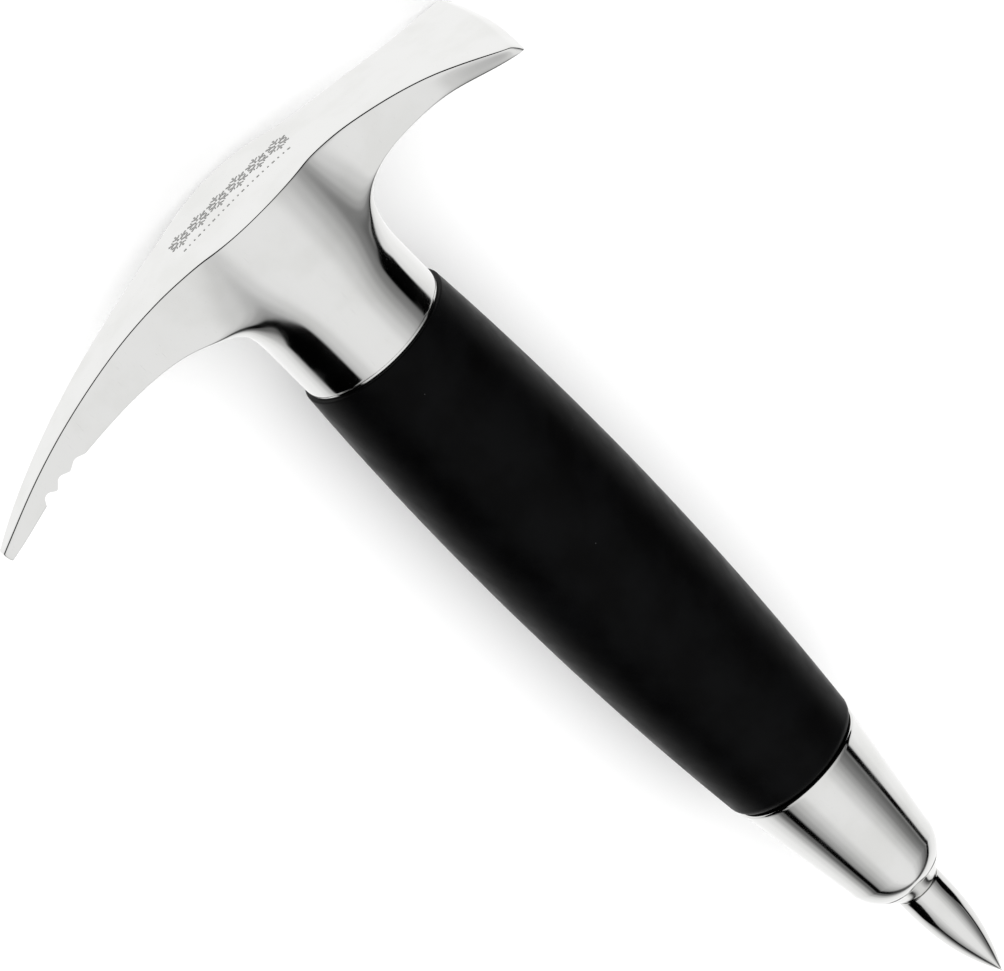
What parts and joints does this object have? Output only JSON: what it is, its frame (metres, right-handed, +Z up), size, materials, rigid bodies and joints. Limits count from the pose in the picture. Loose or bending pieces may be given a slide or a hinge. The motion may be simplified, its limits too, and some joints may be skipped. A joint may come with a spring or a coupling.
{
  "type": "bar ice axe",
  "caption": "Short bar tool for cracking ice: a steel head with a toothed pick and a flared adze, a soft barrel grip, and a tapered ferrule with a pointed spike.",
  "frame": {"origin": "middle of the underside box, on the surface that the tool lies on", "axes": "+X along the handle from the crown of the head to the point of the spike; +Y from the pick towards the adze; +Z up, away from the surface. The tool lies rolled about 1.8 degrees, on its grip and one corner of the adze"},
  "size_m": [0.1948, 0.116, 0.0345],
  "materials": {
    "polished_steel": "mirror-polished stainless steel",
    "plain_steel": "plain machined steel",
    "soft_touch_rubber": "matt black soft-touch overmould",
    "core_plastic": "moulded black plastic",
    "seal_rubber": "black nitrile rubber"
  },
  "bodies": {
    "root": {"axe_head": "polished_steel", "collar_ring": "polished_steel", "tang_rod": "plain_steel", "head_seal": "seal_rubber", "grip_core": "core_plastic", "grip_sleeve": "soft_touch_rubber", "ferrule_seal": "seal_rubber", "clamp_washer": "plain_steel", "spring_washer": "plain_steel", "clamp_nut": "plain_steel", "ferrule": "polished_steel", "spike": "polished_steel"}
  },
  "joints": []
}
